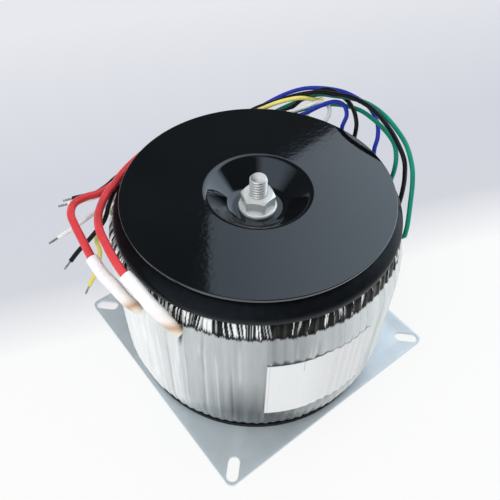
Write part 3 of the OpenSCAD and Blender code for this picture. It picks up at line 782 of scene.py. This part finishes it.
def add_label():
    """Blank paper under the last layer of film, which ghosts its right half."""
    low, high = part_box("rating_label")
    outer = max(math.hypot(v.co.x, v.co.y) for v in nodes["rating_label"].data.vertices)
    columns, rows = LABEL_GRID
    angle = np.radians(np.linspace(LABEL_LOW, LABEL_HIGH, columns))
    height = np.linspace(low.z, high.z, rows)
    rng = np.random.default_rng(LABEL_SEED)
    across = (angle - angle[0]) * outer
    up = height - height[0]
    tone = np.full((rows, columns), PAPER_TONE)
    left, line = across[None, :], up[:, None]
    ink_and_rim_shadow = (np.abs(left - LABEL_EDGE) < LABEL_LINE / 2) & (line > 0.5 * MM)
    # Painted shadow along the left, top and bottom edges
    ink_and_rim_shadow |= left < LABEL_RIM_SHADOW
    ink_and_rim_shadow |= (line > up[-1] - LABEL_RIM_SHADOW) | (line < LABEL_RIM_SHADOW)
    mark = (np.abs(left - LABEL_MARK_AT) < LABEL_LINE / 2) & (line > up[-1] - LABEL_MARK)
    tone[ink_and_rim_shadow | mark] = INK_AND_SHADOW_TONE
    streaks = np.interp(across, np.linspace(0, across[-1], 46), rng.uniform(0, 1, 46))
    share = ramp(across, 0.34 * across[-1], 0.3 * across[-1])
    film_tone = 0.5 + 0.22 * streaks
    cover = (share * (0.35 + 0.45 * streaks))[None, :]
    tone = tone * (1 - cover) + film_tone[None, :] * cover
    # Flat over the crests at the left, and pressed into the pleats at the right
    pleats = np.interp(
        np.degrees(angle) % 360, np.arange(WRAP_COLUMNS + 1) * 360 / WRAP_COLUMNS,
        np.append(WRAP_WAVE, WRAP_WAVE[0]),
    )
    pressed = ramp(across, 0.3 * across[-1], 0.3 * across[-1])
    crest = WRAP_R + PLEAT_DEPTH * 0.8
    r = (crest * (1 - pressed) + (WRAP_R + PLEAT_DEPTH * pleats) * pressed + 0.12) * MM
    r = np.repeat(r[None, :], rows, axis=0)
    height = np.repeat(height[:, None], columns, axis=1)
    front = np.dstack([r * np.cos(angle), r * np.sin(angle), height])
    inner = 1 - LABEL_T / outer
    back = front * (inner, inner, 1)
    points = np.concatenate([front.reshape(-1, 3), back.reshape(-1, 3)])
    faces = grid_faces(rows, columns, closed_columns=False)
    behind = rows * columns
    faces += [tuple(behind + i for i in reversed(quad)) for quad in list(faces)]
    grid = np.arange(behind).reshape(rows, columns)
    rim = np.concatenate([grid[0], grid[1:, -1], grid[-1, -2::-1], grid[-2:0:-1, 0]]).tolist()
    faces += [(b, a, behind + a, behind + b) for a, b in zip(rim, rim[1:] + rim[:1])]
    tone = np.concatenate([tone, tone]).reshape(-1, 1)
    label = add_mesh(
        "label", points, faces, label_paper(), 40,
        tone * np.array([0.99, 1.0, 1.0]),
    )
    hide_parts("rating_label")


add_label()

# ---------- pads ----------


def rubber(name, color, roughness):
    """Dull black rubber, a little uneven."""
    pad = Finish(
        name, color, roughness, Specular_IOR_Level=0.2, Specular_Tint=(0.75, 0.9, 1.0, 1)
    )
    dark = tuple(0.7 * c for c in color)
    light = tuple(1.5 * c for c in color)
    pad.color_by(pad.noise(220, 4), (0.3, dark), (0.75, light))
    pad.rough_by(pad.noise(70, 3), roughness - 0.08, roughness + 0.1)
    pad.bump_by(pad.noise(45, 2), 0.0006)
    return pad.bump_by(pad.noise(900, 3), 0.00006).material


# The top pad is held up to a radius, and past it hangs loose and waves a little
PAD_GRIP_R = 74.5 * MM
PAD_LOOSE = 5.2 * MM
PAD_SAG = 0.3
PAD_SEED = 2


def add_top_pad():
    """The upper pad, draped over the shoulder, with a rounded lip."""
    section = [
        (31.9, 120.5), (54.0, 120.5), (64.06, 119.6), (70.0, 117.9), (74.13, 116.27),
        (77.0, 114.4), (78.7, 112.9), (79.3, 112.4), (79.62, 112.7), (79.7, 113.4),
        (79.7, 114.9), (79.4, 115.9), (78.6, 116.8), (77.2, 117.8), (75.45, 118.95),
        (72.0, 120.4), (68.0, 121.6), (64.67, 122.5), (60.0, 123.0), (54.15, 123.45),
        (31.9, 123.45),
    ]
    pad_rubber = rubber("pad_rubber", (0.0045, 0.005, 0.006), 0.36)
    pad = add_turned("top_pad_draped", np.array(section) * MM, pad_rubber, 288)
    rng = np.random.default_rng(PAD_SEED)
    waves = [(k, rng.uniform(0, 2 * math.pi), 0.22 / k**0.5) for k in (2, 5, 9, 14)]
    for v in pad.data.vertices:
        r, a = math.hypot(v.co.x, v.co.y), math.atan2(v.co.y, v.co.x)
        loose = max(0.0, (r - PAD_GRIP_R) / PAD_LOOSE)
        sag = sum(h * math.sin(k * a + s) for k, s, h in waves) - PAD_SAG
        v.co.z += loose * sag * MM
    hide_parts("top_pad")


add_top_pad()
dress(nodes["bottom_pad"], rubber("under_pad", (0.008, 0.0085, 0.0095), 0.5))

# ---------- disc, bolt, washer and nut ----------

# Sizes of the solid disc: sheet, dish and the bends at its lip and floor
DISC_R = 75 * MM
DISC_T = 2 * MM
DISC_EDGE = 0.5 * MM
DISH_R = 30.5 * MM
DISH_FLOOR_R = 13.55 * MM
LIP_BEND = 4 * MM
FLOOR_BEND = 6 * MM
BOLT_HOLE_R = 5.5 * MM
disc_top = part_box("pressure_disc")[1].z
dish_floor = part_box("flat_washer")[0].z


def enamel():
    """Black enamel with a high gloss and a little orange peel."""
    paint = Finish(
        "black_enamel", (0.004, 0.0045, 0.005), 0.06, Coat_Weight=1.0, Coat_Roughness=0.03,
        Specular_Tint=(0.7, 0.88, 1.0, 1),
    )
    paint.color_by(
        paint.noise(25, 4), (0.35, (0.003, 0.0035, 0.004)), (0.7, (0.005, 0.006, 0.007))
    )
    paint.rough_by(paint.noise(160, 4), 0.04, 0.1)
    return paint.bump_by(paint.noise(420, 1), 0.00003).material


def disc_face(depth):
    """Upper or lower face of the disc's sheet, from the lip to the bolt hole."""
    fall = disc_top - dish_floor
    run, drop = DISH_R - DISH_FLOOR_R, fall - LIP_BEND - FLOOR_BEND
    slope = math.degrees(
        math.atan2(drop, run) + math.asin((LIP_BEND + FLOOR_BEND) / math.hypot(run, drop))
    )
    lip = arc((DISH_R, disc_top - LIP_BEND), LIP_BEND - depth, 90, 90 + slope, 12)
    floor = arc(
        (DISH_FLOOR_R, dish_floor + FLOOR_BEND), FLOOR_BEND + depth, 270 + slope, 270, 12
    )
    return lip + floor + [(BOLT_HOLE_R, dish_floor - depth)]


def add_disc():
    """The dished disc, with a rounded rim."""
    outer, bottom = DISC_R - DISC_EDGE, disc_top - DISC_T
    flat = [(r * MM, disc_top) for r in (74.3, 73, 66, 56, 46, 37, 32.5, 30.9)]
    section = (
        arc((outer, bottom + DISC_EDGE), DISC_EDGE, 270, 360, 6)
        + arc((outer, disc_top - DISC_EDGE), DISC_EDGE, 0, 90, 6)
        + flat
        + disc_face(0)
        + disc_face(DISC_T)[::-1]
    )
    disc = add_turned("enamelled_disc", section, enamel(), 384)
    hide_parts("pressure_disc")


add_disc()


def zinc(name, toned=False):
    """Bright zinc on turned and forged steel."""
    metal = Finish(name, (0.88, 0.91, 0.88), 0.4, Metallic=0.45)
    grain = metal.noise(350, 5)
    # A toned piece takes its colour from its mesh: for the bolt, painted shade in the thread's
    # grooves
    if toned:
        metal.color_from("tone", grain, 0.86, 1.0)
    else:
        metal.color_by(grain, (0.3, (0.9, 0.95, 0.92)), (0.7, (0.98, 1.0, 0.98)))
    metal.rough_by(metal.noise(500, 4), 0.22, 0.38)
    metal.bump_by(metal.noise(140, 3), 0.0001)
    return metal.bump_by(metal.noise(1100, 3), 0.00003).material


ZINC = zinc("bright_zinc")
BOLT_R = 5 * MM
THREAD_PITCH = 1.75 * MM
THREAD_DEPTH = 1.0 * MM
HEAD_H = 6.4 * MM
HEX_FLAT = 17 * MM
# Direction of a corner of the nut, as in the photo
NUT_TURN = 56.0
# A hexagon's face is turned down to this share of its flats, at this angle
HEX_FACE, HEX_SLOPE = 0.955, 28
BORE_CHAMFER = 0.6 * MM
BOLT_SIDES = 64
# How far the thread goes down below the dish's floor
THREAD_BELOW = 6 * MM
SHANK_PLAY = 0.08 * MM
END_CHAMFER = 0.9 * MM
WASHER_HOLE_R = 5.25 * MM
WASHER_EDGE = 0.35 * MM
WASHER_BURR = 0.2 * MM


def hex_radius(turn, corner):
    """Distance from the axis to the side of a hexagon with a corner in that direction."""
    return HEX_FLAT / 2 / np.cos((turn - corner) % (math.pi / 3) - math.pi / 6)


def hex_rings(low, high, bore, corner, both):
    """Rows of a hexagon with a bore, from the lower face to the upper. Its corners are
    turned down at the upper face, or at both faces."""
    turn = np.linspace(0, 2 * math.pi, 144, endpoint=False)
    side = hex_radius(turn, corner)
    face = HEX_FLAT / 2 * HEX_FACE
    fall = (side - face) * math.tan(math.radians(HEX_SLOPE))
    lower = low + fall if both else low
    rows = [
        (bore + BORE_CHAMFER, low), (face, low), (side, lower), (side, high - fall),
        (face, high), (bore + BORE_CHAMFER, high), (bore, high - BORE_CHAMFER),
        (bore, low + BORE_CHAMFER),
    ]
    points = [np.stack([r * np.cos(turn), r * np.sin(turn), z + 0 * turn], 1) for r, z in rows]
    return np.concatenate(points), len(rows), len(turn)


def add_nut():
    """The nut, with the corners of both faces turned down."""
    low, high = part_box("hex_nut")
    points, rows, columns = hex_rings(
        low.z, high.z, BOLT_R - 0.5 * MM, math.radians(NUT_TURN), True
    )
    faces = grid_faces(rows, columns, closed_rows=True)
    nut = add_mesh("nut", points, faces, ZINC, 25)
    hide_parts("hex_nut")


def add_washer():
    """The washer, with a rounded outer edge."""
    low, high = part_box("flat_washer")
    inner, outer, soft = WASHER_HOLE_R, high.x, WASHER_EDGE
    section = (
        arc((outer - soft, low.z + soft), soft, 270, 360, 4)
        + arc((outer - soft, high.z - soft), soft, 0, 90, 4)
        + [(inner + WASHER_BURR, high.z), (inner, high.z - WASHER_BURR), (inner, low.z)]
    )
    washer = add_turned("washer", section, ZINC, 128)
    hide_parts("flat_washer")


def add_bolt():
    """Hexagon head, shank and a rolled thread with a chamfered end."""
    low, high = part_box("centre_bolt")
    head_top = low.z + HEAD_H
    columns = BOLT_SIDES
    turn = np.linspace(0, 2 * math.pi, columns, endpoint=False)
    thread_low = dish_floor - THREAD_BELOW
    heights = np.concatenate([
        [head_top, thread_low - 1 * MM], np.arange(thread_low, high.z, THREAD_PITCH / 8),
        [high.z],
    ])[:, None]
    phase = (heights / THREAD_PITCH - turn[None, :] / (2 * math.pi)) % 1
    groove = np.clip(np.abs(phase - 0.5) * 2.6 - 0.15, 0, 1)
    cut = np.where(heights < thread_low, 0, groove * THREAD_DEPTH)
    end = BOLT_R - END_CHAMFER + (high.z - heights) * 0.9
    r = np.minimum(BOLT_R - SHANK_PLAY - cut, end)
    rows = np.dstack([r * np.cos(turn), r * np.sin(turn), np.repeat(heights, columns, 1)])
    points = rows.reshape(-1, 3)
    faces = [list(face) for face in grid_faces(len(heights), columns)]
    count, top = len(points), (len(heights) - 1) * columns
    points = np.vstack([points, [(0, 0, high.z + 0.01 * MM)]])
    faces += [[top + i, top + (i + 1) % columns, count] for i in range(columns)]
    hexagon, head_rows, head_columns = hex_rings(low.z, head_top, 0.5 * MM, 0.0, False)
    hexagon[:, 2] = low.z + head_top - hexagon[:, 2]
    # Painted shade in the thread's grooves, darker the deeper the cut
    shade = 1 - 0.75 * (cut / THREAD_DEPTH) ** 1.5
    tone = np.concatenate([shade.reshape(-1, 1), np.ones((1 + len(hexagon), 1))])
    first = len(points)
    points = np.vstack([points, hexagon])
    faces += [
        [first + i for i in reversed(face)]
        for face in grid_faces(head_rows, head_columns, closed_rows=True)
    ]
    bolt = add_mesh("bolt", points, faces, zinc("bolt_zinc", True), 40, tone)
    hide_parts("centre_bolt")


add_nut()
add_washer()
add_bolt()

# ---------- mounting plate ----------

PLATE_EDGE = 0.35 * MM


def plate_zinc():
    """Galvanised sheet: faint spangles, rolling lines and a satin gloss."""
    sheet = Finish("galvanised_sheet", (0.7, 0.77, 0.8), 0.36, Metallic=0.4)
    sheet.color_by(
        sheet.noise(60, 5), (0.25, (0.64, 0.715, 0.75)), (0.8, (0.74, 0.815, 0.845))
    )
    sheet.rough_by(sheet.cells(140), 0.32, 0.46)
    sheet.bump_by(sheet.noise(900, 2, (1, 0.06, 1)), 0.00002)
    return sheet.bump_by(sheet.noise(90, 2), 0.00008).material


def add_plate():
    """The sheet with its edges broken."""
    plate = nodes["base_plate"].copy()
    plate.data = nodes["base_plate"].data.copy()
    plate.name = "plate"
    plate.parent = None
    for key in list(plate.keys()):
        del plate[key]
    link(plate)
    dress(plate, plate_zinc())
    weld = plate.modifiers.new("weld", "WELD")
    weld.merge_threshold = 0.01 * MM
    edge = plate.modifiers.new("edge", "BEVEL")
    edge.width = PLATE_EDGE
    edge.segments = 3
    edge.limit_method = "ANGLE"
    edge.angle_limit = math.radians(50)
    plate.data.shade_smooth()
    plate.data.set_sharp_from_angle(angle=math.radians(30))
    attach(plate, "root")
    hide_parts("base_plate")


add_plate()

# ---------- core and windings, under the wrap ----------


def core_steel():
    """The edges of wound strip."""
    steel = Finish("wound_strip", (0.36, 0.37, 0.39), 0.4, Metallic=1.0)
    turns = steel.rings(0.6 * MM)
    steel.color_by(turns, (0.2, (0.2, 0.21, 0.22)), (0.8, (0.42, 0.43, 0.45)))
    return steel.bump_by(turns, 0.0001).material


def fibre_board():
    """Brown board of the core's end rings."""
    board = Finish("fibre_board", (0.66, 0.54, 0.38), 0.8)
    fibres = board.noise(400, 6)
    board.color_by(fibres, (0.3, (0.5, 0.39, 0.26)), (0.7, (0.72, 0.6, 0.43)))
    return board.bump_by(fibres, 0.0002).material


def winding_tape():
    """Yellow tape in overlapping laps."""
    tape = Finish("winding_tape", (0.82, 0.74, 0.45), 0.3, Coat_Weight=0.5)
    laps = tape.around(40)
    tape.color_by(laps, (0.0, (0.7, 0.6, 0.34)), (0.6, (0.84, 0.76, 0.48)))
    return tape.bump_by(laps, 0.0002).material


def copper():
    """Turns of enamelled copper wire."""
    wire = Finish("enamelled_wire", (0.66, 0.32, 0.14), 0.25, Metallic=1.0)
    turns = wire.around(220)
    wire.color_by(turns, (0.1, (0.3, 0.12, 0.05)), (0.8, (0.74, 0.37, 0.17)))
    return wire.bump_by(turns, 0.0003).material


UNDER_WRAP = {
    "core": core_steel(),
    "core_ring_lower": fibre_board(),
    "core_ring_upper": fibre_board(),
    "core_tape": winding_tape(),
    "interwinding_tape": winding_tape(),
    "primary_winding": copper(),
    "secondary_winding": copper(),
}
for node_name, material in UNDER_WRAP.items():
    dress(nodes[node_name], material)

# ---------- stage and light ----------

# The floor turns from white to blue-grey across this direction, from one distance of the
# bolt to the other
FLOOR_ACROSS = (-0.418, 0.909, 0.0)
FLOOR_FROM, FLOOR_TO = -0.2385, 0.4615
FLOOR_STOPS = [
    (0.0, (0.98, 0.985, 0.975)), (0.37, (0.975, 0.98, 0.975)), (0.45, (0.67, 0.685, 0.74)),
    (0.6, (0.66, 0.68, 0.74)), (1.0, (0.82, 0.83, 0.87)),
]
FLOOR_HALF = 4.0
# Just under the part's base, so that the two faces don't lie in one plane
FLOOR_Z = -0.4 * MM
# Share of the floor's tone that the camera and gloss see as it is, without shading
FLOOR_GLOW = 0.82


def add_floor():
    """Pale floor. The camera and gloss see most of its tone unshaded."""
    size = FLOOR_HALF
    mesh = bpy.data.meshes.new("floor")
    mesh.from_pydata(
        [(-size, -size, 0), (size, -size, 0), (size, size, 0), (-size, size, 0)],
        [], [(0, 1, 2, 3)],
    )
    floor = bpy.data.objects.new("floor", mesh)
    floor.location.z = FLOOR_Z
    link(floor)
    paper = Finish("floor_paper", (0.9, 0.9, 0.9), 0.8, Specular_IOR_Level=0.2)
    across = paper.node(
        "VectorMath", {0: paper.place(), 1: FLOOR_ACROSS}, operation="DOT_PRODUCT"
    ).outputs["Value"]
    place = paper.node(
        "MapRange", {"Value": across, "From Min": FLOOR_FROM, "From Max": FLOOR_TO}
    )
    paper.color_by(place.outputs["Result"], *FLOOR_STOPS)
    color = paper.shader.inputs["Base Color"].links[0].from_socket
    glow = paper.node("Emission", {"Color": color, "Strength": 1.0}).outputs[0]
    rays = paper.node("LightPath").outputs
    seen = paper.node(
        "Math", {0: rays["Is Camera Ray"], 1: rays["Is Glossy Ray"]}, operation="MAXIMUM"
    ).outputs[0]
    share = paper.node("Math", {0: seen, 1: FLOOR_GLOW}, operation="MULTIPLY").outputs[0]
    mixed = paper.node("MixShader", {0: share, 1: paper.shader.outputs[0], 2: glow})
    output = paper.tree.nodes["Material Output"]
    paper.tree.links.new(mixed.outputs[0], output.inputs["Surface"])
    mesh.materials.append(paper.material)


add_floor()

# Two planes bound the bright part of the ceiling that gloss shows
ROOM_PLANES = [(-0.985, -0.166, -0.039), (-0.628, 0.484, -0.609)]
# How bright the other parts are for gloss: a window at the right, the front at the left,
# what lies low, and the rest
WINDOW, FRONT_LEFT, LOW, REST = 2.0, 0.8, 0.5, 0.06
PLAIN_LIGHT = 0.76
LAMPS_LOOK_AT = (0, 0, 0.08)


def add_world():
    """Plain light all round, and for gloss the bright and dark parts of a room."""
    world = bpy.data.worlds.new("room")
    bpy.context.scene.world = world
    world.use_nodes = True
    tree = world.node_tree
    tree.nodes.clear()

    def add(kind, inputs=(), output=0, **settings):
        return add_node(tree, kind, inputs, **settings).outputs[output]

    towards = add("TexCoord", output="Generated")

    def side(normal, soft, start=0.0):
        """1 on the side of the plane that its normal points from, 0 on the other."""
        off = add("VectorMath", {0: towards, 1: normal}, "Value", operation="DOT_PRODUCT")
        return add("MapRange", {
            "Value": off, "From Min": start + soft, "From Max": start - soft,
        }, "Result")

    def both(a, b):
        return add("Math", {0: a, 1: b}, operation="MULTIPLY")

    def total(a, b):
        return add("Math", {0: a, 1: b}, operation="ADD")

    right = add("MapRange", {
        "Value": add("SeparateXYZ", {"Vector": towards}, "X"),
        "From Min": -0.1, "From Max": 0.25, "To Min": 0.7, "To Max": 1.5,
    }, "Result")
    ceiling = both(side(ROOM_PLANES[0], 0.004), side(ROOM_PLANES[1], 0.004))
    ceiling = both(both(ceiling, right), side((0, -1, 0), 0.1, -0.2))
    window = both(both(side((-1, 0, 0), 0.2, -0.62), side((0, 0, 1), 0.15)), WINDOW)
    front = both(side((1, 0, 0), 0.12, 0.05), side((0, 1, 0), 0.2, -0.2))
    low = both(side((0, 0, 1), 0.08, 0.06), LOW)
    rest = total(total(both(front, FRONT_LEFT), low), REST)
    gloss = total(total(ceiling, window), rest)
    rays = tree.nodes.new("ShaderNodeLightPath").outputs
    plain = add("Background", {"Color": (0.95, 0.97, 1.0, 1), "Strength": PLAIN_LIGHT})
    shown = add("Background", {"Color": (0.86, 0.88, 0.92, 1), "Strength": 1.0})
    glossy = add("Background", {"Color": (0.84, 0.93, 1.06, 1), "Strength": gloss})
    mixed = add("MixShader", {0: rays["Is Camera Ray"], 1: plain, 2: shown})
    mixed = add("MixShader", {0: rays["Is Glossy Ray"], 1: mixed, 2: glossy})
    tree.links.new(mixed, tree.nodes.new("ShaderNodeOutputWorld").inputs["Surface"])


def add_lamp(name, at, size, power, color):
    """A soft round lamp that gloss doesn't show, turned to the part."""
    data = bpy.data.lights.new(name, "AREA")
    data.shape = "DISK"
    data.size = size
    data.energy = power
    data.color = color
    lamp = bpy.data.objects.new(name, data)
    lamp.location = at
    lamp.visible_glossy = False
    towards = Vector(LAMPS_LOOK_AT) - Vector(at)
    lamp.rotation_euler = towards.to_track_quat("-Z", "Y").to_euler()
    link(lamp)


add_world()
add_lamp("key", (-0.35, -0.6, 1.1), 0.9, 4.5, (1.0, 0.99, 0.97))
add_lamp("fill", (0.8, 0.4, 1.0), 0.8, 1.2, (0.95, 0.97, 1.0))

bpy.context.scene.view_settings.view_transform = "Standard"
